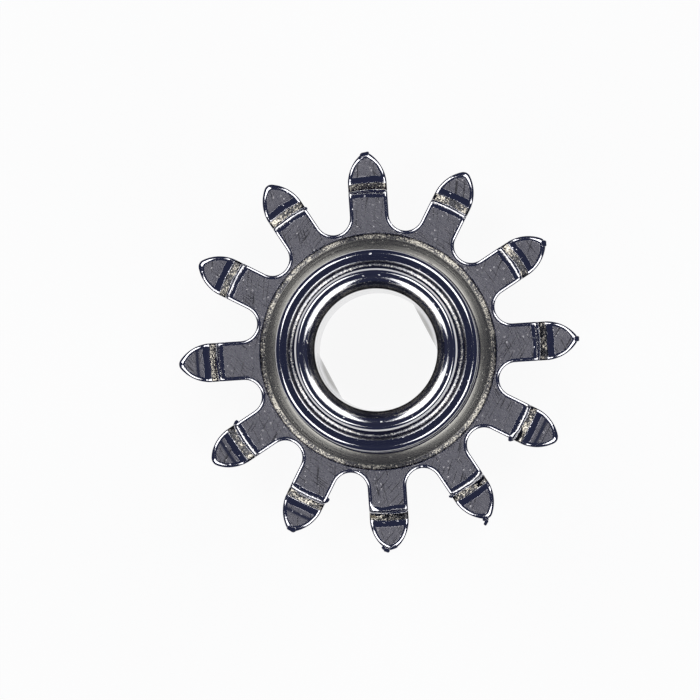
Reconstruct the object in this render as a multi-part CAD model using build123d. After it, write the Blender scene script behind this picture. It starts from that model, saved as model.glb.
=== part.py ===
from build123d import *
import math
import os

# A watch minute pinion: a ring of leaves at the foot of a tube, with a seat for the minute hand at its head.
# Millimetres. The axis of the tube is Z, the leaves stand on Z = 0 and the hand seat is uppermost.

# Leaves
LEAF_COUNT = 12
LEAF_SETTING = 3.75  # degrees from X to the middle of the first leaf
TIP_DIAMETER = 2.29
ROOT_DIAMETER = 1.42
LEAF_THICKNESS = 0.218
NOSE_SHARE = 0.38  # the rounded nose beyond the even flanks, as a share of the leaf's height
NOSE_RADIUS = 0.29
TIP_ROUNDING = 0.022
FACE_WIDTH = 0.50
BLANK_ALLOWANCE = 0.20  # on the radius, left on the blank until the leaves are cut

# Turned step that lowers the outer ends of the leaves
STEP_SHARE = 0.50  # how far in from the tips it stands, as a share of the leaf's height
STEP_DEPTH = 0.10
STEP_EDGE_SHARE = 0.36  # rounding of its upper edge, as a share of its depth
STEP_FILLET_SHARE = 0.42  # hollow at its foot, as a share of its depth

# Tube
TUBE_DIAMETER = 1.12
FOOT_FILLET = 0.11
SHOULDER_HEIGHT = 2.02
SHOULDER_ROUNDING = 0.030

# Seat of the minute hand, slightly tapered so that the hand jams on it
SEAT_DIAMETER = 0.90
SEAT_LENGTH = 0.58
SEAT_NARROWING = 0.016  # on the radius, from the shoulder to the rim
SEAT_FILLET = 0.034
SEAT_EDGE_ROUNDING = 0.012

# Bore for the centre arbor
BORE_DIAMETER = 0.68
MOUTH_STEEP_WIDTH = 0.038
MOUTH_STEEP_DEPTH = 0.085
MOUTH_SHALLOW_WIDTH = 0.036
MOUTH_SHALLOW_DEPTH = 0.018
LOWER_MOUTH_CHAMFER = 0.025

# Two opposed pinch dents, which make the tube grip the arbor
DENT_SETTING = 28.0  # degrees from X
DENT_DEPTH = 0.036
DENT_HEIGHT = 0.97
PUNCH_RADIUS = 0.55  # of the long rounded edge that pressed the wall in
DENT_LENGTH_SHARE = 1.4  # how much longer the swelling in the bore is than the dent outside

# Values that follow from those above
TIP_RADIUS = TIP_DIAMETER / 2
ROOT_RADIUS = ROOT_DIAMETER / 2
LEAF_HEIGHT = TIP_RADIUS - ROOT_RADIUS
NOSE_START_RADIUS = TIP_RADIUS - NOSE_SHARE * LEAF_HEIGHT
STEP_RADIUS = TIP_RADIUS - STEP_SHARE * LEAF_HEIGHT
HALF_LEAF = LEAF_THICKNESS / 2
HALF_PITCH = math.pi / LEAF_COUNT
TUBE_RADIUS = TUBE_DIAMETER / 2
SEAT_RADIUS = SEAT_DIAMETER / 2
BORE_RADIUS = BORE_DIAMETER / 2
OVERALL_HEIGHT = SHOULDER_HEIGHT + SEAT_LENGTH
# the round bottom of a leaf space touches the root circle and both flanks
SPACE_ROUNDING = (ROOT_RADIUS * math.sin(HALF_PITCH) - HALF_LEAF) / (1 - math.sin(HALF_PITCH))
BLANK_RADIUS = TIP_RADIUS + BLANK_ALLOWANCE


def arc_middle(centre, start, end, radius):
    """The point halfway along the shorter arc from start to end."""
    return centre + ((start + end) / 2 - centre).normalized() * radius


def nose_centre():
    """The centre of the arc that runs from the end of the upper flank into the rounded tip."""
    flank_end = Vector(NOSE_START_RADIUS, HALF_LEAF)
    tip_centre = Vector(TIP_RADIUS - TIP_ROUNDING, 0)
    apart = (tip_centre - flank_end).length
    along = (tip_centre - flank_end).normalized()
    inner = NOSE_RADIUS - TIP_ROUNDING
    reach = (NOSE_RADIUS**2 - inner**2 + apart**2) / (2 * apart)
    aside = math.sqrt(NOSE_RADIUS**2 - reach**2)
    return flank_end + along * reach + Vector(along.Y, -along.X) * aside


def one_leaf():
    """The edges of the leaf that points along X, and of the leaf space after it."""
    centre = nose_centre()
    tip_centre = Vector(TIP_RADIUS - TIP_ROUNDING, 0)
    space_centre_distance = ROOT_RADIUS + SPACE_ROUNDING
    foot = Vector(space_centre_distance * math.cos(HALF_PITCH), HALF_LEAF)
    flank_end = Vector(NOSE_START_RADIUS, HALF_LEAF)
    nose_end = centre + (tip_centre - centre).normalized() * NOSE_RADIUS
    nose_middle = arc_middle(centre, flank_end, nose_end, NOSE_RADIUS)
    space_bottom = Vector(ROOT_RADIUS, 0).rotate(Axis.Z, math.degrees(HALF_PITCH))
    next_foot = Vector(foot.X, -foot.Y).rotate(Axis.Z, math.degrees(2 * HALF_PITCH))

    def below(point):
        return Vector(point.X, -point.Y)

    return [
        Line(below(foot), below(flank_end)),
        ThreePointArc(below(flank_end), below(nose_middle), below(nose_end)),
        ThreePointArc(below(nose_end), Vector(TIP_RADIUS, 0), nose_end),
        ThreePointArc(nose_end, nose_middle, flank_end),
        Line(flank_end, foot),
        ThreePointArc(foot, space_bottom, next_foot),
    ]


def leaf_ring_outline():
    """The whole outline of the leaves, seen along the axis."""
    edges = []
    for number in range(LEAF_COUNT):
        turn = Rotation(0, 0, LEAF_SETTING + number * 360 / LEAF_COUNT)
        edges += [turn * edge for edge in one_leaf()]
    return Face(Wire(edges))


def rounded_outline(corners):
    """A closed outline in the XZ plane through corners of (x, z, rounding radius)."""
    places = [Vector(x, 0, z) for x, z, radius in corners]
    arcs = []
    for number, (x, z, radius) in enumerate(corners):
        here = places[number]
        before = (places[number - 1] - here).normalized()
        after = (places[(number + 1) % len(places)] - here).normalized()
        half_angle = math.radians(before.get_angle(after)) / 2
        start = here + before * (radius / math.tan(half_angle))
        end = here + after * (radius / math.tan(half_angle))
        centre = here + (before + after).normalized() * (radius / math.sin(half_angle)) if radius else here
        arcs.append((start, arc_middle(centre, start, end, radius) if radius else here, end, radius))
    edges = []
    for number, (start, middle, end, radius) in enumerate(arcs):
        if radius:
            edges.append(ThreePointArc(start, middle, end))
        edges.append(Line(end, arcs[(number + 1) % len(arcs)][0]))
    return Face(Wire(edges))


def turned_blank():
    """The outside of the pinion before the leaves are cut."""
    lower_face = FACE_WIDTH - STEP_DEPTH
    corners = [
        (0, 0, 0),
        (BLANK_RADIUS, 0, 0),
        (BLANK_RADIUS, lower_face, 0),
        (STEP_RADIUS, lower_face, STEP_FILLET_SHARE * STEP_DEPTH),
        (STEP_RADIUS, FACE_WIDTH, STEP_EDGE_SHARE * STEP_DEPTH),
        (TUBE_RADIUS, FACE_WIDTH, FOOT_FILLET),
        (TUBE_RADIUS, SHOULDER_HEIGHT, SHOULDER_ROUNDING),
        (SEAT_RADIUS, SHOULDER_HEIGHT, SEAT_FILLET),
        (SEAT_RADIUS - SEAT_NARROWING, OVERALL_HEIGHT, SEAT_EDGE_ROUNDING),
        (0, OVERALL_HEIGHT, 0),
    ]
    return revolve(rounded_outline(corners), Axis.Z)


def bore_cutter():
    """The through bore with its two-slope upper mouth and the small chamfer below."""
    steep_top = OVERALL_HEIGHT - MOUTH_SHALLOW_DEPTH
    shoulder_radius = BORE_RADIUS + MOUTH_STEEP_WIDTH
    corners = [
        (0, 0, 0),
        (BORE_RADIUS + LOWER_MOUTH_CHAMFER, 0, 0),
        (BORE_RADIUS, LOWER_MOUTH_CHAMFER, 0),
        (BORE_RADIUS, steep_top - MOUTH_STEEP_DEPTH, 0),
        (shoulder_radius, steep_top, 0),
        (shoulder_radius + MOUTH_SHALLOW_WIDTH, OVERALL_HEIGHT, 0),
        (0, OVERALL_HEIGHT, 0),
    ]
    return revolve(rounded_outline(corners), Axis.Z)


def leaf_space_cutter():
    """All that lies outside the leaves, as far as the face width goes."""
    outside = Circle(BLANK_RADIUS + BLANK_ALLOWANCE).face() - leaf_ring_outline()
    return extrude(outside, FACE_WIDTH)


def punch(distance, radius, turn):
    """A long round bar across the tube, with its nearest side at the distance from the axis."""
    bar = Cylinder(radius, TUBE_DIAMETER, rotation=(90, 0, 0))
    return Rotation(0, 0, turn) * Pos(distance + radius, 0, DENT_HEIGHT) * bar


def pinched(body):
    """The body with both dents: the wall pressed in from outside and swollen into the bore."""
    mid_wall = Pos(0, 0, DENT_HEIGHT) * Cylinder((BORE_RADIUS + SEAT_RADIUS) / 2, SHOULDER_HEIGHT)
    inner_radius = PUNCH_RADIUS * DENT_LENGTH_SHARE
    for turn in (DENT_SETTING, DENT_SETTING + 180):
        body = body + (punch(BORE_RADIUS - DENT_DEPTH, inner_radius, turn) & mid_wall)
        body = body - punch(TUBE_RADIUS - DENT_DEPTH, PUNCH_RADIUS, turn)
    return body


def minute_pinion():
    """The whole piece."""
    return pinched(turned_blank() - leaf_space_cutter() - bore_cutter())


os.makedirs("parts", exist_ok=True)
export_step(minute_pinion(), "parts/minute_pinion.step")
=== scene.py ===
import math

import bmesh
import bpy
import numpy as np
from bpy.props import FloatProperty, FloatVectorProperty, IntProperty, PointerProperty
from bpy.types import Operator, Panel, PropertyGroup
from mathutils import Matrix, Vector


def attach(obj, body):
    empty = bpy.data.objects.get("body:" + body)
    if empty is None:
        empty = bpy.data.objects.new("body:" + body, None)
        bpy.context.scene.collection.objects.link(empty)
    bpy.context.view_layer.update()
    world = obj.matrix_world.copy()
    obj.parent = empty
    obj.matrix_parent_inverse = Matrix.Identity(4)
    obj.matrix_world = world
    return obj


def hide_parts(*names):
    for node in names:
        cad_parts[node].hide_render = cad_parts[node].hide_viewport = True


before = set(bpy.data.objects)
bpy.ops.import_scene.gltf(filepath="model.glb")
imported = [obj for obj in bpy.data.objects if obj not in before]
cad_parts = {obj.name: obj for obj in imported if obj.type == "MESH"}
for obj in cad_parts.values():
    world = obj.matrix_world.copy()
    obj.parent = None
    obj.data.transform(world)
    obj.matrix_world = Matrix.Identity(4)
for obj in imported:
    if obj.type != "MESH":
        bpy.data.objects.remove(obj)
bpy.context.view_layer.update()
NODE = "minute_pinion"
MM = 0.001
WELD = 2e-8  # vertices closer than this many metres are one

bl_info = {
    "name": "Watch Minute Pinion",
    "version": (1, 0, 0),
    "blender": (4, 5, 0),
    "location": "View3D > Sidebar > Pinion",
    "description": "A steel watch pinion with a turned tube, on a pale table under four soft lamps",
    "category": "Object",
}


def length_property(name, description, millimetres):
    """A length shown with its unit, its default given in millimetres."""
    return FloatProperty(
        name=name, description=description, default=millimetres * MM, min=0.0, unit="LENGTH", precision=6
    )


def angle_property(name, description, degrees):
    """An angle, its default given in degrees."""
    return FloatProperty(
        name=name, description=description, default=math.radians(degrees), subtype="ANGLE"
    )


def colour_property(name, description, colour):
    """A plain colour without alpha."""
    return FloatVectorProperty(
        name=name, description=description, default=colour, size=3, min=0.0, max=1.0, subtype="COLOR"
    )


class LeafSizes(PropertyGroup):
    """Sizes of the ring of leaves."""

    count: IntProperty(name="Leaves", description="How many leaves stand round the ring", default=12, min=5)
    setting: angle_property("First leaf", "Angle of the first leaf from X", 3.75)
    tip_radius: length_property("Tip radius", "From the axis to the end of a leaf", 1.147)
    root_radius: length_property("Root radius", "From the axis to the bottom of a leaf space", 0.710)
    thickness: length_property("Leaf thickness", "Across the even flanks of a leaf", 0.2225)
    nose_length: length_property("Nose length", "From the end of the even flanks to the tip", 0.197)
    nose_radius: length_property("Nose arc", "Radius of the arc that rounds each flank into the tip", 0.224)
    tip_rounding: length_property("Tip rounding", "Radius of the very end of a leaf", 0.042)
    face_width: length_property("Face width", "Height of the leaves along the axis", 0.500)
    step_radius: length_property("Step radius", "Where the outer ends of the leaves step down", 0.9277)
    step_depth: length_property("Step depth", "How far the outer ends are lowered", 0.100)


class TubeSizes(PropertyGroup):
    """Sizes of the tube and the hand seat."""

    tube_radius: length_property("Tube radius", "Outside of the tube", 0.565)
    seat_radius: length_property("Seat radius", "Outside of the hand seat at its foot", 0.456)
    bore_radius: length_property("Bore radius", "Inside of the tube", 0.340)
    shoulder: length_property("Shoulder height", "Height of the shoulder under the hand", 2.020)
    height: length_property("Overall height", "Height of the whole piece", 2.600)
    dent_height: length_property("Dent height", "Height of the two pinch dents", 0.970)
    dent_depth: length_property("Dent depth", "How far the wall is pinched in", 0.036)
    dent_setting: angle_property("Dent angle", "Angle of the first dent from X", 28)


class SteelLook(PropertyGroup):
    """Colours of the steel."""

    polished: colour_property("Polished steel", "Burnished edges and turned faces", (0.60, 0.60, 0.63))
    ground: colour_property("Ground steel", "Flat faces of the leaves", (0.55, 0.535, 0.55))
    # Painted shade: this satin colour is dark, to darken the hollow at the tube's foot and the inside of the
    # bore.
    satin: colour_property("Shaded_satin steel", "Smooth hollow at the foot of the tube", (0.19, 0.185, 0.17))
    warm: colour_property("Warm steel", "Clean crests in the torn hollows", (0.48, 0.445, 0.375))
    # Painted shade: a near-black colour for the troughs of the torn grain, the scratches and the pits.
    residue: colour_property("Residue", "Dark residue in the torn grain and the pits", (0.05, 0.05, 0.055))
    seed: IntProperty(name="Seed", description="Seed of the small differences between leaves", default=7)


class StageLook(PropertyGroup):
    """The table and the light."""

    table: colour_property("Table", "Colour of the table", (0.86, 0.86, 0.86))
    surroundings: colour_property("Surroundings", "Dim blue of the room", (0.026, 0.031, 0.068))
    lamp: FloatProperty(
        name="Lamp level", description="Brightness of each soft lamp's face", default=3.4, min=0.0
    )


def smooth_step(low, high, value):
    """0 below low, 1 above high, with an even curve between."""
    t = np.clip((np.asarray(value, float) - low) / (high - low), 0, 1)
    return t * t * (3 - 2 * t)


def arc_points(x, z, radius, start, end, count):
    """Points along an arc, angles in degrees."""
    angles = np.radians(np.linspace(start, end, count))
    return np.column_stack([x + radius * np.cos(angles), z + radius * np.sin(angles)])


def line_points(start, end, count):
    """Points along a straight run, without its first one."""
    shares = np.linspace(0, 1, count + 1)[1:, None]
    return np.asarray(start) + (np.asarray(end) - np.asarray(start)) * shares


def sloped_points(height, knots, steps=5):
    """Points from a height, through radii with the angle at which the surface falls outwards there."""
    points = [(knots[0][0], height)]
    for (start, slope), (end, next_slope) in zip(knots, knots[1:]):
        for step in range(steps):
            middle = math.radians(slope + (next_slope - slope) * (step + 0.5) / steps)
            height -= math.tan(middle) * (end - start) / steps
            points.append((start + (end - start) * (step + 1) / steps, height))
    return np.array(points)


def plain_mesh(name, verts, faces, attributes, material_indices=None):
    """A welded mesh from millimetre coordinates, with its faces outwards."""
    mesh = bpy.data.meshes.new(name)
    mesh.from_pydata((np.asarray(verts) * MM).tolist(), [], faces)
    for key, values in attributes.items():
        put_numbers(mesh, key, values)
    if material_indices is not None:
        mesh.polygons.foreach_set("material_index", np.asarray(material_indices, np.int32))
    edit = bmesh.new()
    edit.from_mesh(mesh)
    bmesh.ops.remove_doubles(edit, verts=edit.verts, dist=WELD)
    bmesh.ops.recalc_face_normals(edit, faces=edit.faces)
    edit.to_mesh(mesh)
    edit.free()
    return mesh


def put_numbers(mesh, key, values):
    """Keeps a number on each vertex."""
    attribute = mesh.attributes.get(key) or mesh.attributes.new(key, "FLOAT", "POINT")
    attribute.data.foreach_set("value", np.asarray(values, np.float32))


def numbers(mesh, key):
    """The numbers kept on a mesh's vertices, or noughts."""
    values = np.zeros(len(mesh.vertices), np.float32)
    if key in mesh.attributes:
        mesh.attributes[key].data.foreach_get("value", values)
    return values


def places(mesh):
    """A mesh's vertices in millimetres."""
    flat = np.empty(len(mesh.vertices) * 3, np.float32)
    mesh.vertices.foreach_get("co", flat)
    return flat.reshape(-1, 3).astype(float) / MM


def put_places(mesh, verts):
    """Moves a mesh's vertices, given in millimetres."""
    mesh.vertices.foreach_set("co", (verts * MM).astype(np.float32).ravel())
    mesh.update()


def placed(name, data):
    """A new object in the scene."""
    thing = bpy.data.objects.new(name, data)
    bpy.context.scene.collection.objects.link(thing)
    return thing


# The outline of a leaf


class LeafOutline:
    """Half of the outline of a leaf that points along X, and the curves parallel to it inside the steel."""

    def __init__(self, leaves):
        self.half_pitch = math.pi / leaves.count
        self.root = leaves.root_radius / MM
        self.half = leaves.thickness / MM / 2
        self.nose = leaves.nose_radius / MM
        self.tip_round = leaves.tip_rounding / MM
        tip = leaves.tip_radius / MM
        sine = math.sin(self.half_pitch)
        self.space_round = (self.root * sine - self.half) / (1 - sine)
        towards_space = np.array([math.cos(self.half_pitch), sine])
        self.space_centre = towards_space * (self.root + self.space_round)
        self.foot = np.array([self.space_centre[0], self.half])
        flank_end = np.array([tip - leaves.nose_length / MM, self.half])
        self.tip_centre = np.array([tip - self.tip_round, 0.0])
        apart = np.linalg.norm(self.tip_centre - flank_end)
        along = (self.tip_centre - flank_end) / apart
        inner = self.nose - self.tip_round
        reach = (self.nose**2 - inner**2 + apart**2) / (2 * apart)
        aside = math.sqrt(self.nose**2 - reach**2)
        self.nose_centre = flank_end + along * reach + np.array([along[1], -along[0]]) * aside
        to_tip = self.tip_centre - self.nose_centre
        self.nose_end = math.atan2(to_tip[1], to_tip[0])

    def root_point(self, angle, inset):
        """On the round bottom of the space beside the leaf."""
        return self.space_centre + (self.space_round + inset) * np.array([math.cos(angle), math.sin(angle)])

    def side_point(self, radius, inset):
        """On the flank or the nose, at a distance from the pinion's axis."""
        y_flank = self.half - inset
        on_flank = np.array([math.sqrt(max(radius**2 - y_flank**2, 0)), y_flank])
        if on_flank[0] < self.nose_centre[0]:
            return on_flank
        far = np.linalg.norm(self.nose_centre)
        towards = self.nose_centre / far
        reach = (radius**2 - (self.nose - inset) ** 2 + far**2) / (2 * far)
        aside = math.sqrt(max(radius**2 - reach**2, 0))
        on_nose = towards * reach + np.array([-towards[1], towards[0]]) * aside
        return on_nose if on_nose[1] < y_flank else on_flank

    def side_normal(self, radius):
        """Outwards from the flank or the nose."""
        point = self.side_point(radius, 0)
        if abs(point[1] - self.half) < 1e-9:
            return np.array([0.0, 1.0])
        return (point - self.nose_centre) / np.linalg.norm(point - self.nose_centre)

    def blended_side(self, radius, inset):
        """Round the axis along most of the flank, square to the outline next to the root and the nose."""
        start = np.linalg.norm(self.foot)
        square = 1 - smooth_step(start, start + 0.04, radius) + smooth_step(0.99, 1.05, radius)
        there = self.side_point(radius, 0) - inset * self.side_normal(radius)
        return self.side_point((1 - square) * radius + square * np.linalg.norm(there), inset)

    def nose_point(self, angle, inset):
        """On the nose arc, square to it."""
        return self.nose_centre + (self.nose - inset) * np.array([math.cos(angle), math.sin(angle)])

    def tip_point(self, angle, inset):
        """On the very end."""
        return self.tip_centre + (self.tip_round - inset) * np.array([math.cos(angle), math.sin(angle)])


# The faces of a leaf

GROOVE_RADIUS = 0.6765  # where the leaves' upper face drops into the fine groove round the tube's foot
GROOVE_DEPTH = 0.010
STEP_SLOPES = [(-0.0397, 0), (-0.0158, 8), (-0.0072, 24), (0.0, 40)]  # distance from the step, angle of fall
STEP_HOLLOW = 0.156  # radius of the hollow at the foot of the step
HOLLOW_WIDTH = 0.067
RING_WIDTH = 0.0755  # from the step to the outer edge of the polished ring
EDGE_SLOPES = [(-0.0200, 0), (-0.0110, 9), (-0.0056, 23), (0.0, 38)]  # distance from the outline, fall
BAND = 0.025  # width of the strip along the outline that carries the rolled edge
BAND_LEVELS = np.array([0, 0.004, 0.03, 0.09, 0.18, 0.29, 0.41, 0.55, 0.75, 1.0]) * BAND
LOWER_ROUND = 0.010
INSIDE_STEPS = 8
STEP_ROWS = (0.884, 1.02, 1.065)  # radii where the rows are set by the step's section, and where they end


def turned_face(leaves):
    """The leaves' upper face as radius and height: level, rolled over at the step, hollow at its foot."""
    upper = leaves.face_width / MM
    lower = upper - leaves.step_depth / MM
    wall = leaves.step_radius / MM
    points = [(0.3, upper - GROOVE_DEPTH), (GROOVE_RADIUS, upper - GROOVE_DEPTH)]
    points += [(GROOVE_RADIUS + 0.0021, upper - 0.002), (GROOVE_RADIUS + 0.0035, upper)]
    points += sloped_points(upper, [(wall + place, slope) for place, slope in STEP_SLOPES]).tolist()
    steepest = math.degrees(math.asin(HOLLOW_WIDTH / STEP_HOLLOW))
    centre = (wall + 0.0004 + HOLLOW_WIDTH, lower + STEP_HOLLOW)
    points += arc_points(*centre, STEP_HOLLOW, 270 - steepest, 270, 13).tolist()
    edge = wall + RING_WIDTH
    points += [(edge, lower - 0.0007), (edge + 0.0020, lower - 0.0006), (edge + 0.0055, lower - 0.0004)]
    points += [(edge + 0.0165, lower + 0.0004), (edge + 0.0258, lower + 0.0007), (2.0, lower + 0.0007)]
    return np.array(points)


def roll_scale(radius):
    """How large the rolled edge is at a distance from the axis: small on the flanks, widest at the tips."""
    return 1 + 0.15 * smooth_step(0.93, 1.0, radius) + 0.7 * smooth_step(1.08, 1.14, radius)


def rolled_off(distance, radius):
    """How far the rolled edge falls below the face at a distance from the outline."""
    scale = roll_scale(radius)
    fall = sloped_points(0.0, EDGE_SLOPES)
    return -scale * np.interp(-distance / scale, fall[:, 0], fall[:, 1])


class LeafSurface:
    """Grid of points over half of one leaf, in rows along its outline and columns inwards from it."""

    def __init__(self, leaves):
        self.outline = LeafOutline(leaves)
        self.face = turned_face(leaves)
        self.rows = self.root_and_side_rows()
        self.nose_rows = len(self.rows)
        for angle in np.linspace(self.outline.nose_end, 0, 7)[1:]:
            self.rows.append(lambda inset, a=angle: self.outline.tip_point(a, inset))
        self.border = self.line(0)
        shares = np.linspace(0, 1, 12)
        self.dense = np.concatenate([self.border[:-1] + np.diff(self.border, axis=0) * t for t in shares])

    def root_and_side_rows(self):
        """Functions that give a row's point at an inset, from the bottom of the space to the nose's end."""
        outline = self.outline
        rows = []
        for angle in np.linspace(math.pi + outline.half_pitch, 1.5 * math.pi, 13):
            rows.append(lambda inset, a=angle: outline.root_point(a, inset))
        first, last, end = STEP_ROWS
        turned = self.face[(self.face[:, 0] > first + 0.001) & (self.face[:, 0] < last), 0]
        flank = np.linspace(np.linalg.norm(outline.foot), first, 9)[1:]
        radii = np.concatenate([flank, turned, np.linspace(last, end, 6)[1:]])
        for radius in radii:
            rows.append(lambda inset, r=radius: outline.blended_side(r, inset))
        join = outline.side_point(radii[-1], 0) - outline.nose_centre
        for angle in np.linspace(math.atan2(join[1], join[0]), outline.nose_end, 10)[1:]:
            rows.append(lambda inset, a=angle: outline.nose_point(a, inset))
        return rows

    def line(self, inset):
        """The curve at one inset."""
        return np.array([row(inset) for row in self.rows])

    def top_height(self, flat, inset):
        """Height of the upper face."""
        radius = np.linalg.norm(flat, axis=1)
        return np.interp(radius, self.face[:, 0], self.face[:, 1]) - rolled_off(inset, radius)

    def column(self, flat, height, inset):
        """One line of points: x, y, z and the distance inwards from the rolled edge."""
        beyond = inset + EDGE_SLOPES[0][0] * roll_scale(np.linalg.norm(flat, axis=1))
        return np.column_stack([flat, np.broadcast_to(height, len(flat)), beyond])

    def outer_columns(self):
        """From the lower edge up the wall and over the rounded upper edge."""
        columns = []
        for bend in np.radians([0, 30, 60, 90]):
            inset = LOWER_ROUND * (1 - math.sin(bend))
            columns.append(self.column(self.line(inset), LOWER_ROUND * (1 - math.cos(bend)), 0))
        rim = self.top_height(self.border, np.zeros(len(self.border)))
        columns.append(self.column(self.border, (LOWER_ROUND + rim) / 2, 0))
        for level in BAND_LEVELS:
            flat = self.line(level)
            columns.append(self.column(flat, self.top_height(flat, np.full(len(flat), level)), level))
        return columns

    def inner_columns(self, edge):
        """Across the upper face, round the axis to the middle of the leaf."""
        flat = edge[: self.nose_rows, :2]
        radius = np.linalg.norm(flat, axis=1)
        angle = np.arctan2(flat[:, 1], flat[:, 0])
        columns = []
        for step in range(1, INSIDE_STEPS + 1):
            turn = angle * (1 - step / INSIDE_STEPS)
            flat = np.column_stack([radius * np.cos(turn), radius * np.sin(turn)])
            inset = np.array([np.min(np.linalg.norm(self.dense - p, axis=1)) for p in flat])
            columns.append(self.column(flat, self.top_height(flat, inset), inset))
        return columns


def there_and_back(line, half, mirrored_first=False):
    """A line to the middle of the leaf and on along its mirror image, the middle point once."""
    if mirrored_first:
        return [half + i for i in line] + list(reversed(line[:-1]))
    return line + [half + i for i in reversed(line[:-1])]


def leaf_mesh(leaves, lower_bore_radius):
    """One leaf with its share of the ring, open at the sides where its neighbours join and at the tube."""
    surface = LeafSurface(leaves)
    outer = surface.outer_columns()
    columns = outer + surface.inner_columns(outer[-1])
    edge = len(outer) - 1
    verts, faces, starts = [], [], []
    for column in columns:
        starts.append(len(verts))
        verts += column.tolist()
    for number, (a, b) in enumerate(zip(starts, starts[1:])):
        count = (len(surface.rows) if number < edge else surface.nose_rows) - 1
        faces += [(a + i, a + i + 1, b + i + 1, b + i) for i in range(count)]
    rings = [starts[edge:]]
    turns = [surface.outline.half_pitch * (1 - step / INSIDE_STEPS) for step in range(INSIDE_STEPS + 1)]

    def circle(radius, height):
        """Adds an arc of vertices over half a leaf's share of the ring."""
        verts.extend((radius * math.cos(t), radius * math.sin(t), height, 0.0) for t in turns)
        return list(range(len(verts) - len(turns), len(verts)))

    for radius in (GROOVE_RADIUS + 0.007, GROOVE_RADIUS + 0.0035, GROOVE_RADIUS + 0.0021, GROOVE_RADIUS):
        rings.append(circle(radius, float(np.interp(radius, surface.face[:, 0], surface.face[:, 1]))))
    for one, two in zip(rings, rings[1:]):
        faces += [(one[i], one[i + 1], two[i + 1], two[i]) for i in range(INSIDE_STEPS)]
    bore = circle(lower_bore_radius, 0.0)
    half = len(verts)
    faces += [tuple(half + i for i in reversed(f)) for f in faces]
    across = [start + surface.nose_rows - 1 for start in starts[edge:]]
    tip = [starts[edge] + i for i in range(surface.nose_rows, len(surface.rows))]
    under = [starts[0] + i for i in range(len(surface.rows))]
    faces.append(tuple(there_and_back(tip, half) + there_and_back(across, half, mirrored_first=True)))
    faces.append(tuple(there_and_back(under, half) + there_and_back(bore, half, mirrored_first=True)))
    mirrored = [(x, -y, z, inset) for x, y, z, inset in verts]
    everything = np.array(verts + mirrored)
    return plain_mesh("leaf", everything[:, :3], faces, {"inset": everything[:, 3]})


# Damage to the leaves, each place given from the axis along its leaf and across it, left of the tip positive

CHIPS = (  # leaf, along, across, turn of the fall from the leaf's line, angle of fall, depth
    (10, 0.905, 0.078, 25, 15, 0.012),
    (9, 0.890, -0.082, -45, 16, 0.014),
    (11, 0.905, -0.080, -28, 15, 0.012),
)
CHIP_REACH = 0.06
BLUNT_TIPS = ((9, 1.090, 0.25), (7, 1.095, 0.15))  # leaf, from, share taken off
BANDED_LEAVES = (6, 7, 8, 11)  # leaves with a burnished band across the tip
BAND_RADIUS = 1.0405
BURRS = (  # leaf, along, across, length, width, turn, height
    (0, 1.144, 0.000, 0.030, 0.034, 0, 0.404),
    (1, 1.137, -0.012, 0.032, 0.040, -25, 0.404),
    (3, 1.139, 0.004, 0.024, 0.060, 12, 0.406),
    (3, 1.122, 0.031, 0.020, 0.030, 45, 0.404),
    (8, 1.134, 0.002, 0.032, 0.060, 0, 0.406),
    (9, 1.142, -0.026, 0.024, 0.038, -20, 0.404),
    (9, 1.126, -0.043, 0.024, 0.024, -50, 0.404),
    (9, 1.130, 0.014, 0.016, 0.056, 18, 0.406),
    (10, 1.142, -0.022, 0.030, 0.038, -45, 0.406),
    (10, 1.160, -0.031, 0.022, 0.038, 30, 0.406),
    (7, 0.905, -0.110, 0.040, 0.030, 10, 0.494),
    (8, 0.897, 0.112, 0.040, 0.026, -12, 0.494),
    (10, 0.922, -0.111, 0.022, 0.030, 0, 0.488),
    (11, 0.905, -0.112, 0.036, 0.030, 15, 0.494),
    (4, 0.914, -0.106, 0.028, 0.026, 25, 0.494),
)
RAGGEDNESS = 0.16
BURR_LEAN = 0.6  # how fast a burr drops outwards


def own_leaves(verts, leaves):
    """The number of the leaf that each vertex belongs to, and that leaf's angle."""
    angle = np.arctan2(verts[:, 1], verts[:, 0]) - leaves.setting
    pitch = math.tau / leaves.count
    number = np.round(angle / pitch)
    return number % leaves.count, number * pitch + leaves.setting


def worn_leaves(verts, leaves):
    """The leaves' ends with tips blunted and corners chipped."""
    number, turn = own_leaves(verts, leaves)
    along = verts[:, 0] * np.cos(turn) + verts[:, 1] * np.sin(turn)
    across = verts[:, 1] * np.cos(turn) - verts[:, 0] * np.sin(turn)
    height = verts[:, 2].copy()
    tip = leaves.tip_radius / MM
    for leaf, start, share in BLUNT_TIPS:
        here = (number == leaf) & (along > start)
        reach = (along[here] - start) / (tip - start)
        along[here] = start + (tip - start) * reach * (1 - 0.5 * share * reach)
    for leaf, centre, aside, facing, fall, depth in CHIPS:
        facing = math.radians(facing)
        beyond = (along - centre) * math.cos(facing) + (across - aside) * math.sin(facing)
        lowered = np.clip(np.clip(beyond, 0, None) * math.tan(math.radians(fall)), 0, depth)
        close = np.hypot(along - centre, across - aside) < CHIP_REACH
        near = (number == leaf) & (height > 0.3) & close
        height[near] -= lowered[near]
    flat = np.column_stack([np.cos(turn), np.sin(turn)]) * along[:, None]
    flat += np.column_stack([-np.sin(turn), np.cos(turn)]) * across[:, None]
    return np.column_stack([flat, height])


def burnished_bands(verts, leaves):
    """How burnished each vertex is: a band lies across the tips of a few leaves."""
    away = np.abs(np.linalg.norm(verts[:, :2], axis=1) - BAND_RADIUS)
    return np.isin(own_leaves(verts, leaves)[0], BANDED_LEAVES) * (1 - smooth_step(0.003, 0.014, away))


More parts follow.
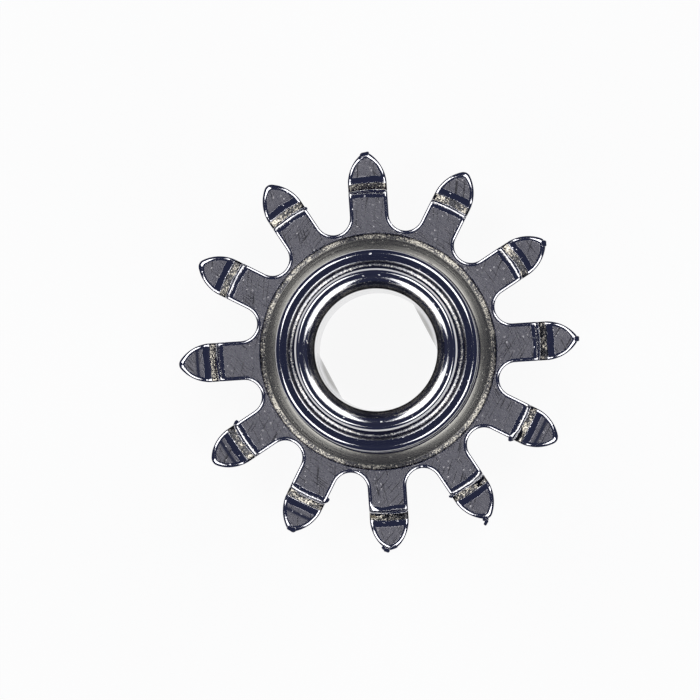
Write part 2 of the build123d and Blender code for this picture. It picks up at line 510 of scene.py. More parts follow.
def burr_mesh(leaves, leaf, along, across, length, width, turn, height):
    """A small ragged flake that leans on the end or the corner of a leaf."""
    edit = bmesh.new()
    bmesh.ops.create_icosphere(edit, subdivisions=3, radius=1.0)
    verts = np.array([v.co[:] for v in edit.verts])
    faces = [tuple(v.index for v in face.verts) for face in edit.faces]
    edit.free()
    ragged = 1 + RAGGEDNESS * np.sin(3.1 * verts[:, 0] + 7 * along) * np.cos(4.3 * verts[:, 1] + 9 * width)
    shape = verts * ragged[:, None] * (length / 2, width / 2, min(length, width) * 0.7)
    shape[:, :2] /= np.sqrt(np.clip(np.hypot(verts[:, 0], verts[:, 1]), 0.3, 1))[:, None]
    shape[:, 2] = np.minimum(shape[:, 2], 0.002) - BURR_LEAN * (shape[:, 0] + length / 4)
    lean = leaves.setting + math.tau / leaves.count * leaf
    spin = lean + math.radians(turn)
    x = shape[:, 0] * math.cos(spin) - shape[:, 1] * math.sin(spin)
    y = shape[:, 0] * math.sin(spin) + shape[:, 1] * math.cos(spin)
    x += along * math.cos(lean) - across * math.sin(lean)
    y += along * math.sin(lean) + across * math.cos(lean)
    return plain_mesh("burr", np.column_stack([x, y, shape[:, 2] + height]), faces, {})


# The section of the tube

DENT_ROWS = np.linspace(0.56, 1.38, 19)  # heights of the rows that the pinch dents bend
DENT_REACH = 0.34  # how far above and below its middle a dent runs out
DENT_SOFTNESS = 0.08  # rounding of a dent's sides, as a share of its depth
FOOT_SLOPES = [  # distance from the tube, angle of fall
    (0.086, 12), (0.080, 6.5), (0.054, 8), (0.040, 9.5), (0.028, 11), (0.020, 22), (0.012, 45), (0.0, 70)
]
SHOULDER_SLOPES = [(0.030, 0), (0.024, 10), (0.017, 22), (0.009, 34), (0.0, 46)]  # inwards from its edge
SHOULDER_FLAT = 0.5045  # radius where the shoulder's level face ends
SCORE_RADIUS = 0.4985  # bottom of the fine score round the seat's foot
SEAT_FILLET = 0.055
SEAT_LIP = 0.0275  # rounding of the seat's upper edge
LIP_INSET = 0.033
MOUTH_ROUND = 0.0995
LOWER_MOUTH = 0.025  # chamfer of the bore's lower end


def tube_profile(tube, leaves):
    """Half section of the tube from the groove at its foot, over the top and down the bore.

    Each row holds a radius, a height, how satin the steel is there and how much painted shade darkens it,
    and how torn it is.
    """
    outside = tube.tube_radius / MM
    seat = tube.seat_radius / MM
    bore = tube.bore_radius / MM
    shoulder = tube.shoulder / MM
    top = tube.height / MM
    face = leaves.face_width / MM
    parts = []

    def run(points, satin, torn=0.0):
        """Adds points with how satin and shaded and how torn they are."""
        count = len(points)
        parts.append(np.column_stack([points, np.broadcast_to(satin, count), np.broadcast_to(torn, count)]))

    run([(GROOVE_RADIUS, face - GROOVE_DEPTH)], 0.6, 1.0)
    knots = [(outside + away, slope) for away, slope in FOOT_SLOPES]
    foot = sloped_points(face - 0.0075, [(GROOVE_RADIUS - 0.002, 13), *knots])
    # Painted shade: the satin share also darkens the steel, most in the hollow at the tube's foot.
    run(foot[:6], 0.5, 1.0)
    run(foot[6:-10], 1.0, 0.03)
    run(foot[-10:], 0.4, 0.1)
    run(np.column_stack([np.full(len(DENT_ROWS), outside), DENT_ROWS + 0.02]), 0.2)
    edge = sloped_points(shoulder, [(outside - inwards, slope) for inwards, slope in SHOULDER_SLOPES])[::-1]
    run(line_points((outside, DENT_ROWS[-1] + 0.02), edge[0], 4)[:-1], 0.2)
    run(edge, 0.0, 0.05)
    run(line_points(edge[-1], (SHOULDER_FLAT, shoulder - 0.0002), 3), 0.0, 0.15)
    score = (SCORE_RADIUS, shoulder - 0.0012)
    run([(0.5025, shoulder + 0.0006), (0.5010, shoulder + 0.0004), score], 0.3, 0.4)
    fillet_centre = (seat + 0.0332, shoulder - 0.0016 + SEAT_FILLET)
    run(line_points(score, (fillet_centre[0] + 0.002, shoulder - 0.0016), 2), 0.2, 0.8)
    run(arc_points(*fillet_centre, SEAT_FILLET, 270, 233, 10), 0.1, 0.6)
    lip_centre = seat - LIP_INSET
    run(line_points((seat, shoulder + 0.010), (lip_centre + SEAT_LIP, top - SEAT_LIP), 5), 0.2)
    run(arc_points(lip_centre, top - SEAT_LIP, SEAT_LIP, 9, 90, 10), 0.0, 0.05)
    steepest = math.degrees(math.asin((lip_centre - bore) / MOUTH_ROUND))
    mouth = arc_points(lip_centre, top - MOUTH_ROUND, MOUTH_ROUND, 92, 90 + steepest, 22)
    run(mouth, 0.0, 0.10 + 0.70 * smooth_step(-0.386, -0.374, -mouth[:, 0]))
    run(line_points(mouth[-1], (bore, DENT_ROWS[-1]), 6), 0.1)
    run(np.column_stack([np.full(len(DENT_ROWS), bore), DENT_ROWS[::-1]]), 0.1)
    run(line_points((bore, DENT_ROWS[0]), (bore, LOWER_MOUTH), 3), 0.1)
    run([(bore + LOWER_MOUTH, 0.0)], 0.1)
    return np.concatenate(parts)


def pinched(verts, tube):
    """The tube's wall pressed in flat from two sides, so that it grips the arbor in its bore."""
    depth = tube.dent_depth / MM
    away = np.clip(np.abs(verts[:, 2] - tube.dent_height / MM) / DENT_REACH, 0, 1)
    pressed = depth * (0.5 + 0.5 * np.cos(math.pi * away))
    radius = np.linalg.norm(verts[:, :2], axis=1)
    angle = np.arctan2(verts[:, 1], verts[:, 0])
    moved = np.zeros(len(verts))
    for side in (0.0, math.pi):
        turn = (angle - tube.dent_setting - side + math.pi) % math.tau - math.pi
        across = np.maximum(np.cos(turn), 0.2)
        inwards = radius - (radius - pressed) / across
        moved += 0.5 * (inwards + np.hypot(inwards, DENT_SOFTNESS * pressed))
    scale = (radius - moved) / radius
    return np.column_stack([verts[:, :2] * scale[:, None], verts[:, 2]]), moved / depth


# Trees that repeat the leaf and turn the section


class Wiring:
    """Adds nodes to a tree, each wired and set in one call."""

    def __init__(self, tree):
        self.tree = tree
        self.count = 0

    def put(self, socket, value):
        """Links a socket or sets its value."""
        if isinstance(value, bpy.types.NodeSocket):
            self.tree.links.new(value, socket)
        else:
            socket.default_value = value

    def add(self, kind, inputs=(), **settings):
        """A new node. Inputs are given in order, or by name or number in a dictionary."""
        node = self.tree.nodes.new(kind)
        node.location = (self.count % 12 * 200, -(self.count // 12) * 320)
        self.count += 1
        for key, value in settings.items():
            setattr(node, key, value)
        pairs = inputs.items() if isinstance(inputs, dict) else enumerate(inputs)
        for key, value in pairs:
            self.put(node.inputs[key], value)
        return node

    def maths(self, operation, *values):
        """The result of one sum."""
        return self.add("ShaderNodeMath", values, operation=operation).outputs[0]

    def times(self, first, second):
        """The product of two numbers."""
        return self.maths("MULTIPLY", first, second)

    def vector(self, operation, *values):
        """The result of one sum on vectors."""
        node = self.add("ShaderNodeVectorMath", values, operation=operation)
        return node.outputs["Value" if operation == "LENGTH" else "Vector"]

    def ramp(self, value, low, high, start=0.0, end=1.0, interpolation="LINEAR"):
        """A number carried from one range to another."""
        sockets = [value, low, high, start, end]
        return self.add("ShaderNodeMapRange", sockets, interpolation_type=interpolation).outputs[0]

    def mask(self, value, low, high):
        """0 below low and 1 above high."""
        return self.ramp(value, low, high, interpolation="SMOOTHSTEP")

    def noise(self, place, scale, detail, roughness=0.5):
        """Soft noise at a place."""
        sockets = {"Vector": place, "Scale": scale, "Detail": detail, "Roughness": roughness}
        return self.add("ShaderNodeTexNoise", sockets).outputs[0]

    def polar(self, place):
        """A place's part square to the axis, its radius and its height."""
        flat = self.vector("MULTIPLY", place, (1.0, 1.0, 0.0))
        return flat, self.vector("LENGTH", flat), self.add("ShaderNodeSeparateXYZ", [place]).outputs["Z"]

    def lifted(self, flat, share, height):
        """A flat place, shrunk by a share and lifted to a height."""
        lift = self.add("ShaderNodeCombineXYZ", {"Z": height}).outputs[0]
        return self.vector("ADD", self.vector("MULTIPLY", flat, (share, share, 0.0)), lift)

    def geometry(self, kind, inputs=(), **settings):
        """What a geometry node gives first."""
        return self.add("GeometryNode" + kind, inputs, **settings).outputs[0]

    def stored(self, geometry, name, value, domain):
        """Geometry with a number kept on it."""
        sockets = {"Geometry": geometry, "Name": name, "Value": value}
        return self.geometry("StoreNamedAttribute", sockets, data_type="FLOAT", domain=domain)

    def end(self, geometry, given, name):
        """Makes copies real, welds them and gives them their steel, as the tree's result."""
        real = self.geometry("RealizeInstances", [geometry])
        welded = self.geometry("MergeByDistance", {"Geometry": real, "Distance": given["Weld"]})
        steel = self.geometry("SetMaterial", {"Geometry": welded, "Material": given["Steel"]})
        self.outputs({name: steel}, "Geometry")

    def inputs(self, sockets):
        """Named group inputs, each given by its default number or its kind, and the node that gives them."""
        for name, value in sockets.items():
            kind = value if isinstance(value, str) else type(value).__name__.title()
            socket = self.tree.interface.new_socket(name, in_out="INPUT", socket_type="NodeSocket" + kind)
            if kind != value:
                socket.default_value = value
        return self.add("NodeGroupInput").outputs

    def outputs(self, sockets, kind="Float"):
        """Named group outputs of one kind, and what feeds them."""
        for name in sockets:
            self.tree.interface.new_socket(name, in_out="OUTPUT", socket_type="NodeSocket" + kind)
        self.add("NodeGroupOutput", sockets)


def new_tree(name, family, sockets):
    """The wiring and the inputs of a new node group."""
    wires = Wiring(bpy.data.node_groups.new(name, family + "NodeTree"))
    return wires, wires.inputs(sockets)


def ring_tree():
    """Repeats a leaf round the axis and welds the copies into one ring."""
    sockets = {"Leaf": "Geometry", "Leaves": 12, "First Leaf": 0.0, "Weld": WELD, "Seed": 7}
    wires, given = new_tree("Leaf Ring", "Geometry", {**sockets, "Steel": "Material"})
    pitch = wires.maths("DIVIDE", math.tau, given["Leaves"])
    angle = wires.maths("MULTIPLY_ADD", wires.geometry("InputIndex"), pitch, given["First Leaf"])
    turn = wires.add("ShaderNodeCombineXYZ", {"Z": angle}).outputs[0]
    sockets = {
        "Points": wires.geometry("Points", {"Count": given["Leaves"]}),
        "Instance": given["Leaf"],
        "Rotation": wires.add("FunctionNodeEulerToRotation", [turn]).outputs[0],
    }
    copies = wires.geometry("InstanceOnPoints", sockets)
    tone = wires.add("FunctionNodeRandomValue", {"Seed": given["Seed"]}, data_type="FLOAT").outputs[1]
    wires.end(wires.stored(copies, "leaf_tone", tone, "INSTANCE"), given, "Ring")
    return wires.tree


def lathe_tree():
    """Turns a half section round the axis and closes the seam."""
    sockets = {"Section": "Geometry", "Segments": 192, "First Angle": 0.0, "Weld": WELD, "Steel": "Material"}
    wires, given = new_tree("Turned Tube", "Geometry", sockets)
    section = given["Section"]
    rows = wires.geometry("AttributeDomainSize", [section])
    around = wires.maths("ADD", given["Segments"], 1.0)
    grid = wires.geometry("MeshGrid", {"Vertices X": around, "Vertices Y": rows})
    index = wires.geometry("InputIndex")
    ring = wires.maths("FLOOR", wires.maths("DIVIDE", wires.maths("ADD", index, 0.5), rows))
    row = wires.maths("SUBTRACT", index, wires.times(ring, rows))
    step = wires.maths("DIVIDE", math.tau, given["Segments"])
    angle = wires.maths("MULTIPLY_ADD", ring, step, given["First Angle"])

    def sampled(field, kind):
        """What a field says at this vertex's row of the section."""
        sockets = {"Geometry": section, "Value": field, "Index": row}
        return wires.geometry("SampleIndex", sockets, data_type=kind)

    place = sampled(wires.geometry("InputPosition"), "FLOAT_VECTOR")
    parts = wires.add("ShaderNodeSeparateXYZ", [place]).outputs
    across = wires.times(parts["X"], wires.maths("COSINE", angle))
    along = wires.times(parts["X"], wires.maths("SINE", angle))
    turned = wires.add("ShaderNodeCombineXYZ", [across, along, parts["Z"]]).outputs[0]
    for name in ("satin", "torn"):
        field = wires.geometry("InputNamedAttribute", {"Name": name}, data_type="FLOAT")
        grid = wires.stored(grid, name, sampled(field, "FLOAT"), "POINT")
    wires.end(wires.geometry("SetPosition", {"Geometry": grid, "Position": turned}), given, "Tube")
    return wires.tree


def grown(mesh, tree, values):
    """The plain mesh that a tree makes from a mesh."""
    seedling = placed("seedling", mesh)
    modifier = seedling.modifiers.new("tree", "NODES")
    modifier.node_group = tree
    for item in tree.interface.items_tree:
        if item.item_type == "SOCKET" and item.in_out == "INPUT" and item.name in values:
            modifier[item.identifier] = values[item.name]
    depsgraph = bpy.context.evaluated_depsgraph_get()
    evaluated = seedling.evaluated_get(depsgraph)
    result = bpy.data.meshes.new_from_object(evaluated, preserve_all_data_layers=True, depsgraph=depsgraph)
    seedling.modifiers.remove(modifier)
    bpy.data.objects.remove(seedling)
    bpy.data.meshes.remove(mesh)
    if not len(result.polygons):
        raise RuntimeError("the tree " + tree.name + " made no faces")
    return result


def joined(name, meshes):
    """One welded mesh from several, keeping their materials and the numbers on their vertices."""
    faces, indices = [], []
    count = 0
    for number, mesh in enumerate(meshes):
        faces += [tuple(count + i for i in polygon.vertices) for polygon in mesh.polygons]
        indices += [number] * len(mesh.polygons)
        count += len(mesh.vertices)
    keys = ("inset", "leaf_tone", "burnished", "satin", "torn")
    attributes = {key: np.concatenate([numbers(mesh, key) for mesh in meshes]) for key in keys}
    whole = plain_mesh(name, np.concatenate([places(mesh) for mesh in meshes]), faces, attributes, indices)
    for mesh in meshes:
        whole.materials.append(mesh.materials[-1])
    whole.shade_smooth()
    whole.set_sharp_from_angle(angle=math.radians(40))
    return whole


# Steel

GRAIN_PER_MM = 150.0
TURNING_PER_MM = (110.0, 120.0)  # turning marks on the leaves and on the tube
TORN_MICRONS = 2.5  # depth of the torn grain on the leaves
FOOT_MICRONS = 1.5  # depth of the torn grain on the tube
PIT_MICRONS = 0.45  # depth of the pits in polished steel
TURNING_MICRONS = 0.3
BRIGHT = 0.09  # roughness of burnished steel
MATT = (0.24, 0.31)  # roughness of ground steel, from and to
TORN_ROUGH = 0.12
SATIN_ROUGH = 0.21
PATCH_DRIFT = 0.020  # how far the patches move the zones' edges, in millimetres
GRAIN_DRIFT = 0.008  # how far the grain moves them
BAND_SHARE = 0.75  # how much of the ground finish a burnished band takes away
ROLLED_SHARE = 0.35  # how torn the rolled edge of the step is
HOLLOW_SHADE_SHARE = 0.7  # how much painted shade darkens the scratches and pits
SCRATCH_LAYERS = (  # turn, scale, slimness, detail
    (0.0, 0.6, 0.35, 3.0),
    (0.1, 1.0, 0.06, 0.0),
    (1.1, 0.9, 0.05, 0.0),
)


def ring_zone_group():
    """1 between two radii, with soft edges."""
    names = ("Radius", "Inner", "Outer", "Softness")
    wires, given = new_tree("Ring Zone", "Shader", {name: 0.0 for name in names})
    sides = []
    for edge in ("Inner", "Outer"):
        low = wires.maths("SUBTRACT", given[edge], given["Softness"])
        high = wires.maths("ADD", given[edge], given["Softness"])
        sides.append(wires.mask(given["Radius"], low, high))
    wires.outputs({"Mask": wires.times(sides[0], wires.maths("SUBTRACT", 1.0, sides[1]))})
    return wires.tree


def scratches_group():
    """Soft grain drawn out in one direction, and a few long scratches that cross it."""
    sockets = {"Place": "Vector", "Direction": 0.0, "Per Millimetre": 140.0}
    wires, given = new_tree("Scratches", "Shader", sockets)
    layers = []
    for turn, share, slimness, detail in SCRATCH_LAYERS:
        sockets = {"Vector": given["Place"], "Angle": wires.maths("ADD", given["Direction"], turn)}
        turned = wires.add("ShaderNodeVectorRotate", sockets, rotation_type="Z_AXIS").outputs[0]
        drawn = wires.vector("MULTIPLY", turned, (slimness, 1.0, 1.0))
        layers.append(wires.noise(drawn, wires.times(given["Per Millimetre"], share), detail, 0.6))
    lines = wires.maths("MINIMUM", layers[1], layers[2])
    wires.outputs({"Height": layers[0], "Lines": wires.ramp(lines, 0.27, 0.35, 1.0, 0.0)})
    return wires.tree


def turning_group():
    """Rings left by the lathe, in steps that fade in and out round the axis."""
    wires, given = new_tree("Turning Marks", "Shader", {"Place": "Vector", "Per Millimetre": 60.0})
    flat, radius, height = wires.polar(given["Place"])
    along = wires.times(wires.maths("ADD", radius, height), given["Per Millimetre"])
    wires.outputs({"Height": wires.noise(wires.lifted(flat, 0.9, along), 1.0, 2.0, 0.7)})
    return wires.tree


def grain_group():
    """Grain of a rough cut, drawn out round the axis, its crests between troughs of painted shade, and
    sparse pits.
    """
    wires, given = new_tree("Torn Grain", "Shader", {"Place": "Vector", "Per Millimetre": 90.0})
    flat, radius, height = wires.polar(given["Place"])
    place = wires.lifted(wires.vector("NORMALIZE", flat), 0.45, wires.maths("ADD", radius, height))
    grain = wires.noise(place, given["Per Millimetre"], 2.0, 0.6)
    patches = wires.noise(given["Place"], 9.0, 1.0)
    shifted = wires.maths("MULTIPLY_ADD", wires.maths("SUBTRACT", patches, 0.5), 0.6, grain)
    coarse = wires.times(given["Per Millimetre"], 0.21)
    sockets = {"Vector": given["Place"], "Scale": coarse}
    pits = wires.ramp(wires.add("ShaderNodeTexVoronoi", sockets).outputs["Distance"], 0.06, 0.15)
    crests = wires.ramp(shifted, 0.46, 0.60)
    wires.outputs({"Height": grain, "Crests": crests, "Patches": patches, "Pits": pits})
    return wires.tree


class SteelNodes(Wiring):
    """The start of a steel material: places in millimetres, the radius, the height and shared effects."""

    def __init__(self, name):
        self.material = bpy.data.materials.new(name)
        self.material.use_nodes = True
        super().__init__(self.material.node_tree)
        self.shader = self.tree.nodes["Principled BSDF"]
        self.put(self.shader.inputs["Metallic"], 1.0)
        own = self.add("ShaderNodeTexCoord").outputs["Object"]
        scale = self.add("ShaderNodeVectorMath", {0: own, "Scale": 1 / MM}, operation="SCALE")
        self.place = scale.outputs[0]
        _, self.radius, self.height = self.polar(self.place)
        self.grain = self.effect("Torn Grain", grain_group, {"Per Millimetre": GRAIN_PER_MM})

    def effect(self, name, maker, sockets):
        """A shared group, made once, with this material's own values, its place and its radius."""
        node = self.add("ShaderNodeGroup", node_tree=bpy.data.node_groups.get(name) or maker())
        for key, value in {"Place": self.place, "Radius": self.radius, **sockets}.items():
            if key in node.inputs:
                self.put(node.inputs[key], value)
        return node.outputs

    def zone(self, inner, outer, softness=0.001):
        """Mask between two radii."""
        sockets = {"Inner": inner, "Outer": outer, "Softness": softness}
        return self.effect("Ring Zone", ring_zone_group, sockets)["Mask"]

    def polish(self, per_millimetre):
        """Relief of polished steel: turning marks and pits, in thousandths of a millimetre."""
        marks = self.effect("Turning Marks", turning_group, {"Per Millimetre": per_millimetre})["Height"]
        marks = self.times(marks, TURNING_MICRONS)
        return self.maths("MULTIPLY_ADD", self.grain["Pits"], PIT_MICRONS, marks)

    def torn_relief(self, torn, microns):
        """Relief of the torn grain, in thousandths of a millimetre."""
        return self.times(torn, self.times(self.grain["Height"], microns))

    def attribute(self, name):
        """A number carried by the mesh."""
        return self.add("ShaderNodeAttribute", attribute_name=name).outputs["Fac"]

    def mix(self, share, first, second):
        """A number between two, by a mask."""
        sockets = {"Factor": share, "A": first, "B": second}
        return self.add("ShaderNodeMix", sockets, data_type="FLOAT").outputs[0]

    def tint(self, share, first, second):
        """A colour between two, by a mask."""
        first, second = (c if isinstance(c, bpy.types.NodeSocket) else (*c, 1) for c in (first, second))
        return self.add("ShaderNodeMix", {0: share, 6: first, 7: second}, data_type="RGBA").outputs[2]

    def torn_tint(self, torn, plain, residue, crests):
        """A plain colour that turns into bright crests between troughs of painted shade."""
        return self.tint(torn, plain, self.tint(self.grain["Crests"], residue, crests))

    def finish(self, relief, colour, roughness):
        """Feeds the shader."""
        sockets = {"Strength": 1.0, "Distance": MM / 1000, "Height": relief}
        bump = self.add("ShaderNodeBump", sockets).outputs[0]
        for key, value in (("Normal", bump), ("Base Color", colour), ("Roughness", roughness)):
            self.put(self.shader.inputs[key], value)
        return self.material


def leaf_steel(leaves, look):
    """Leaves: flat faces ground matt, edges, turned ring and rims burnished, the step's foot torn."""
    nodes = SteelNodes("leaf_steel")
    step = leaves.step_radius / MM
    lower = (leaves.face_width - leaves.step_depth) / MM
    inset = nodes.attribute("inset")
    grain = nodes.grain
    waves = nodes.times(grain["Height"], GRAIN_DRIFT)
    drift = nodes.maths("MULTIPLY_ADD", grain["Patches"], PATCH_DRIFT, waves)
    drift = nodes.maths("SUBTRACT", drift, (PATCH_DRIFT + GRAIN_DRIFT) / 2)
    nodes.radius = nodes.maths("ADD", nodes.radius, drift)
    upper = nodes.zone(GROOVE_RADIUS + 0.004, step + STEP_SLOPES[0][0], 0.0015)
    outer = nodes.zone(step + RING_WIDTH + 0.007, 2.0, 0.001)
    flat = nodes.mask(inset, -0.001, 0.003)
    matt = nodes.maths("MULTIPLY_ADD", nodes.attribute("burnished"), -BAND_SHARE, 1.0)
    ground = nodes.times(nodes.maths("ADD", upper, outer), nodes.times(flat, matt))
    upwards = nodes.mask(nodes.height, lower - 0.018, lower - 0.006)
    hollow = nodes.times(nodes.zone(step + 0.004, step + 0.043, 0.002), upwards)
    rolled = nodes.times(nodes.zone(step - 0.018, step - 0.006, 0.001), upwards)
    torn = nodes.maths("MULTIPLY_ADD", rolled, ROLLED_SHARE, hollow)
    direction = nodes.maths("MULTIPLY_ADD", nodes.attribute("leaf_tone"), 0.7, 0.5)
    marks = nodes.effect("Scratches", scratches_group, {"Direction": direction})
    scratched = nodes.maths("MULTIPLY_ADD", marks["Lines"], -0.1, nodes.times(marks["Height"], 0.5))
    matt_relief = nodes.times(ground, nodes.maths("MULTIPLY_ADD", grain["Pits"], 0.6, scratched))
    bright = nodes.maths("SUBTRACT", 1.0, ground)
    bright_relief = nodes.times(bright, nodes.polish(TURNING_PER_MM[0]))
    relief = nodes.maths("ADD", matt_relief, nodes.torn_relief(torn, TORN_MICRONS))
    relief = nodes.maths("ADD", relief, bright_relief)
    roughness = nodes.mix(ground, BRIGHT, nodes.mix(marks["Height"], *MATT))
    # Painted shade: the scratches and pits on the leaves darken towards the shade colour.
    shaded_marks = nodes.maths("MAXIMUM", marks["Lines"], nodes.maths("SUBTRACT", 1.0, grain["Pits"]))
    faces = nodes.tint(nodes.times(shaded_marks, HOLLOW_SHADE_SHARE), look.ground, look.residue)
    # Painted shade also fills the troughs of the torn grain between its crests.
    colour = nodes.torn_tint(torn, nodes.tint(ground, look.polished, faces), look.residue, look.warm)
    return nodes.finish(relief, colour, nodes.mix(hollow, roughness, TORN_ROUGH))


def turned_steel(look):
    """Tube: burnished roundings between satin and torn hollows, the satin ones darkened as painted shade,
    and a plain bore.
    """
    nodes = SteelNodes("turned_steel")
    satin = nodes.attribute("satin")
    torn = nodes.attribute("torn")
    relief = nodes.maths("ADD", nodes.polish(TURNING_PER_MM[1]), nodes.torn_relief(torn, FOOT_MICRONS))
    # Painted shade: the colour darkens towards the satin colour as the satin share grows.
    plain = nodes.tint(satin, look.polished, look.satin)
    # Painted shade in the troughs of the torn grain, between its crests.
    colour = nodes.torn_tint(torn, plain, look.residue, nodes.tint(satin, look.warm, look.satin))
    return nodes.finish(relief, colour, nodes.mix(satin, BRIGHT, SATIN_ROUGH))


# Operators

RING_NAME = "leaf_ring"
TUBE_NAME = "turned_tube"


class PINION_OT_leaf_ring(Operator):
    """Make the ring of leaves"""

    bl_idname = "pinion.leaf_ring"
    bl_label = "Leaf Ring"

    def execute(self, context):
        leaves = context.scene.pinion_leaves
        leaf = leaf_mesh(leaves, context.scene.pinion_tube.bore_radius / MM + LOWER_MOUTH)
        values = {
            "Leaves": leaves.count,
            "First Leaf": leaves.setting,
            "Seed": context.scene.pinion_steel.seed,
            "Steel": leaf_steel(leaves, context.scene.pinion_steel),
        }
        ring = grown(leaf, ring_tree(), values)
        verts = places(ring)
        put_numbers(ring, "burnished", burnished_bands(verts, leaves))
        put_places(ring, worn_leaves(verts, leaves))
        ring.name = RING_NAME
        return {"FINISHED"}


class PINION_OT_tube(Operator):
    """Turn the tube with its shoulder and hand seat"""

    bl_idname = "pinion.tube"
    bl_label = "Tube"

    def execute(self, context):
        leaves = context.scene.pinion_leaves
        sizes = context.scene.pinion_tube
        section = tube_profile(sizes, leaves)
        mesh = bpy.data.meshes.new("section")
        verts = [(radius * MM, 0.0, height * MM) for radius, height, *_ in section]
        mesh.from_pydata(verts, [(i, i + 1) for i in range(len(verts) - 1)], [])
        put_numbers(mesh, "satin", section[:, 2])
        put_numbers(mesh, "torn", section[:, 3])
        values = {
            "Segments": leaves.count * 2 * INSIDE_STEPS,
            "First Angle": leaves.setting,
            "Steel": turned_steel(context.scene.pinion_steel),
        }
        tube = grown(mesh, lathe_tree(), values)
        verts = places(tube)
        inside = np.linalg.norm(verts[:, :2], axis=1) < (sizes.bore_radius + sizes.tube_radius) / 2 / MM
        verts, pressed = pinched(verts, sizes)
        put_places(tube, verts)
        # Painted shade: the inside of the bore is darkened and roughened where the wall is pinched in.
        darkened = 1.4 * smooth_step(0.0, 0.9, pressed) * inside
        put_numbers(tube, "satin", np.maximum(numbers(tube, "satin"), darkened))
        tube.name = TUBE_NAME
        return {"FINISHED"}


class PINION_OT_whole(Operator):
    """Weld the ring and the tube into the one piece that they are"""

    bl_idname = "pinion.whole"
    bl_label = "Whole Pinion"

    def execute(self, context):
        mesh = joined("steel_pinion", [bpy.data.meshes[RING_NAME], bpy.data.meshes[TUBE_NAME]])
        piece = placed("steel_pinion", mesh)
        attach(piece, "root")
        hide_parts(NODE)
        return {"FINISHED"}


class PINION_OT_burrs(Operator):
    """Put the burrs on the leaf tips and corners"""

    bl_idname = "pinion.burrs"
    bl_label = "Burrs"

    def execute(self, context):
        steel = bpy.data.meshes[TUBE_NAME].materials[-1]
        for number, burr in enumerate(BURRS):
            mesh = burr_mesh(context.scene.pinion_leaves, *burr)
            mesh.shade_smooth()
            mesh.materials.append(steel)
            piece = placed("burr_%d" % (number + 1), mesh)
            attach(piece, "root")
        return {"FINISHED"}


class PINION_OT_stage(Operator):
    """Set the table, the lamps and the camera"""

    bl_idname = "pinion.stage"
    bl_label = "Stage"

    def execute(self, context):
        look = context.scene.pinion_stage
        make_table(look)
        make_world(context.scene, look)
        for number, azimuth in enumerate(LAMP_AZIMUTHS):
            make_lamp(number + 1, azimuth, look)
        make_camera(context.scene)
        context.scene.view_settings.view_transform = "Standard"
        return {"FINISHED"}


# Stage

TABLE_LEVEL = -2e-6  # just under the piece
TABLE_RADIUS = 0.150
TABLE_SEGMENTS = 64
BACKDROP_HEIGHT = 0.014
BACKDROP_BEND = 0.010
LAMP_AZIMUTHS = (47.5, 137.5, 225, 318)
LAMP_DISTANCE = 0.100
LAMP_POLAR = math.radians(32)
LAMP_WIDTH = 0.050
LAMP_DEPTH = 0.042
CAMERA_PLACE = Vector((0.352, -0.279, 57.6)) * MM
CAMERA_AIM = Vector((-0.162, 0.0097, 0.45)) * MM
CAMERA_LENS = 512
WHITE_SHARE = 0.925  # what the camera sees of the table by its own light, the rest by the lamps
LIT_SHARE = (1 - WHITE_SHARE) / 0.86 * 0.9  # share of the table's colour left for the lamps to light


def make_table(look):
    """A round pale table that curves up into a backdrop."""
    flat = TABLE_RADIUS - BACKDROP_BEND
    section = [(r, TABLE_LEVEL) for r in (0.02, 0.06, flat)]
    section += arc_points(flat, BACKDROP_BEND, BACKDROP_BEND, 270, 360, 9)[1:].tolist()
    section += [(TABLE_RADIUS, BACKDROP_HEIGHT)]
    verts = [(0.0, 0.0, TABLE_LEVEL)]
    for step in range(TABLE_SEGMENTS):
        angle = math.tau * step / TABLE_SEGMENTS
        verts += [(r * math.cos(angle), r * math.sin(angle), z) for r, z in section]
    rows = len(section)
    faces = []
    for step in range(TABLE_SEGMENTS):
        a = 1 + step * rows
        b = 1 + (step + 1) % TABLE_SEGMENTS * rows
        faces.append((0, a, b))
        faces += [(a + i, a + i + 1, b + i + 1, b + i) for i in range(rows - 1)]
    mesh = bpy.data.meshes.new("table")
    mesh.from_pydata(verts, [], faces)
    mesh.shade_smooth()
    mesh.materials.append(table_material(look))
    table = placed("table", mesh)


def table_material(look):
    """Pale card: its own colour to the light, and white to the eye and in the steel."""
    material = bpy.data.materials.new("table_card")
    material.use_nodes = True
    wires = Wiring(material.node_tree)
    path = wires.add("ShaderNodeLightPath").outputs
    seen = wires.maths("MAXIMUM", path["Is Camera Ray"], path["Is Glossy Ray"])
    seen = wires.maths("MAXIMUM", seen, path["Is Transmission Ray"])
    lit = tuple(c * LIT_SHARE for c in look.table)
    sockets = {0: seen, 6: (*look.table, 1), 7: (*lit, 1)}
    values = {
        "Base Color": wires.add("ShaderNodeMix", sockets, data_type="RGBA").outputs[2],
        "Roughness": 0.9,
        "Specular IOR Level": 0.0,
        "Emission Color": (1, 1, 1, 1),
        "Emission Strength": wires.times(seen, WHITE_SHARE),
    }
    for key, value in values.items():
        wires.put(material.node_tree.nodes["Principled BSDF"].inputs[key], value)
    return material


def make_world(scene, look):
    """The dim room."""
    world = bpy.data.worlds.new("room")
    world.use_nodes = True
    world.node_tree.nodes["Background"].inputs["Color"].default_value = (*look.surroundings, 1)
    scene.world = world


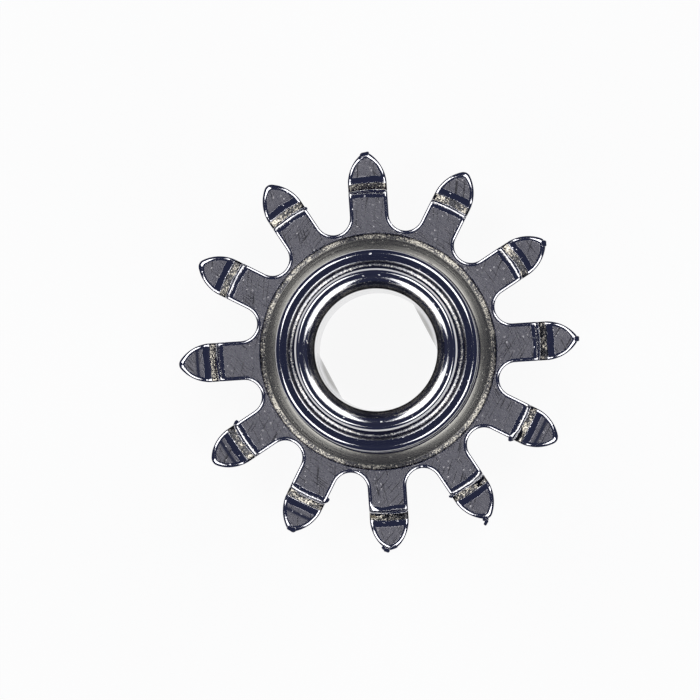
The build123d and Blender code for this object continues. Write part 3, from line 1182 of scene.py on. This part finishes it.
def make_lamp(number, azimuth, look):
    """A soft lamp that faces the piece."""
    light = bpy.data.lights.new("lamp_%d" % number, "AREA")
    light.shape = "RECTANGLE"
    light.size = LAMP_WIDTH
    light.size_y = LAMP_DEPTH
    light.energy = look.lamp * math.pi * LAMP_WIDTH * LAMP_DEPTH
    lamp = placed("lamp_%d" % number, light)
    turn = math.radians(azimuth)
    low = math.sin(LAMP_POLAR)
    towards = Vector((low * math.cos(turn), low * math.sin(turn), math.cos(LAMP_POLAR)))
    lamp.location = towards * LAMP_DISTANCE
    lamp.rotation_euler = towards.to_track_quat("Z", "Y").to_euler()


def make_camera(scene):
    """Looks almost straight down."""
    lens = bpy.data.cameras.new("camera")
    lens.lens = CAMERA_LENS
    lens.clip_start = 0.001
    lens.clip_end = 1.0
    camera = placed("camera", lens)
    back = (CAMERA_PLACE - CAMERA_AIM).normalized()
    right = Vector((0, 1, 0)).cross(back).normalized()
    turn = Matrix((right, back.cross(right), back)).transposed()
    camera.matrix_world = Matrix.Translation(CAMERA_PLACE) @ turn.to_4x4()
    scene.camera = camera


class PINION_PT_sidebar(Panel):
    """Lists the steps in the order they are made"""

    bl_idname = "PINION_PT_sidebar"
    bl_label = "Watch Minute Pinion"
    bl_space_type = "VIEW_3D"
    bl_region_type = "UI"
    bl_category = "Pinion"

    def draw(self, context):
        for operator in OPERATORS:
            self.layout.operator(operator.bl_idname)
        for name in GROUPS:
            group = getattr(context.scene, name)
            box = self.layout.box()
            for key in group.__annotations__:
                box.prop(group, key)


GROUPS = {
    "pinion_leaves": LeafSizes,
    "pinion_tube": TubeSizes,
    "pinion_steel": SteelLook,
    "pinion_stage": StageLook,
}
OPERATORS = (PINION_OT_leaf_ring, PINION_OT_tube, PINION_OT_whole, PINION_OT_burrs, PINION_OT_stage)


def register():
    """Registers the classes and adds the settings to the scene."""
    for item in (*GROUPS.values(), *OPERATORS, PINION_PT_sidebar):
        bpy.utils.register_class(item)
    for name, group in GROUPS.items():
        setattr(bpy.types.Scene, name, PointerProperty(type=group))


def unregister():
    """Takes the settings and the classes away again."""
    for name in GROUPS:
        delattr(bpy.types.Scene, name)
    for item in (PINION_PT_sidebar, *reversed(OPERATORS), *reversed(GROUPS.values())):
        bpy.utils.unregister_class(item)


def main():
    """Makes every piece and the stage."""
    register()
    bpy.ops.pinion.leaf_ring()
    bpy.ops.pinion.tube()
    bpy.ops.pinion.whole()
    bpy.ops.pinion.burrs()
    bpy.ops.pinion.stage()


if __name__ == "__main__":
    main()
